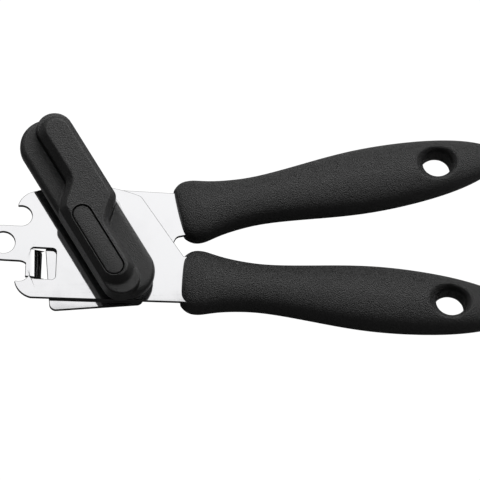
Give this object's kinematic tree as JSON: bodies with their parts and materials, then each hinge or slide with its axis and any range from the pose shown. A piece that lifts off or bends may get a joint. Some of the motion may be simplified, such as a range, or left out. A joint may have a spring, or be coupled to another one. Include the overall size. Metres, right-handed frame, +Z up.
{
  "type": "manual can opener",
  "caption": "Butterfly can opener: two hinged steel plates in black handles, a turning key, feed and cutting wheels, and a cap lifter head.",
  "frame": {"origin": "on the table, under the middle of the tool's box as it lies with the key on top", "axes": "+X along the tool from the cap lifter to the handles, +Z up, away from the table and along the drive shaft"},
  "size_m": [0.2042, 0.093, 0.0269],
  "materials": {
    "plate_steel": "mirror polished stainless steel",
    "rivet_steel": "turned and tumbled steel",
    "tool_steel": "hardened and ground steel",
    "handle_plastic": "fine matt grain, moulded",
    "key_plastic": "satin, moulded",
    "inlay_plastic": "fine matt grain, moulded"
  },
  "bodies": {
    "frame": {"front_plate": "plate_steel", "lower_handle": "handle_plastic", "pivot_boss": "rivet_steel", "boss_ring": "rivet_steel", "thrust_washer": "rivet_steel"},
    "lever": {"back_plate": "plate_steel", "upper_handle": "handle_plastic", "cutter_stud": "rivet_steel", "cutter_spacer": "rivet_steel", "cutter_washer": "rivet_steel"},
    "key": {"key_body": "key_plastic", "key_inlay": "inlay_plastic", "key_hub_insert": "rivet_steel", "drive_shaft": "rivet_steel", "feed_wheel": "tool_steel", "feed_washer": "rivet_steel"},
    "cutter": {"cutter_wheel": "tool_steel"}
  },
  "joints": [
    {"name": "handle_hinge", "type": "hinge", "parent": "frame", "child": "lever", "pos_m": [-0.0582, 0.00813, 0.00994], "axis": [0, 0, 1], "range_deg": [-4, 30]},
    {"name": "key_spin", "type": "hinge", "parent": "frame", "child": "key", "pos_m": [-0.0624, 0.00813, 0.00994], "axis": [0, 0, 1], "continuous": true},
    {"name": "cutter_spin", "type": "hinge", "parent": "lever", "child": "cutter", "pos_m": [-0.0624, -0.00857, 0.00494], "axis": [0, 0, 1], "continuous": true}
  ]
}
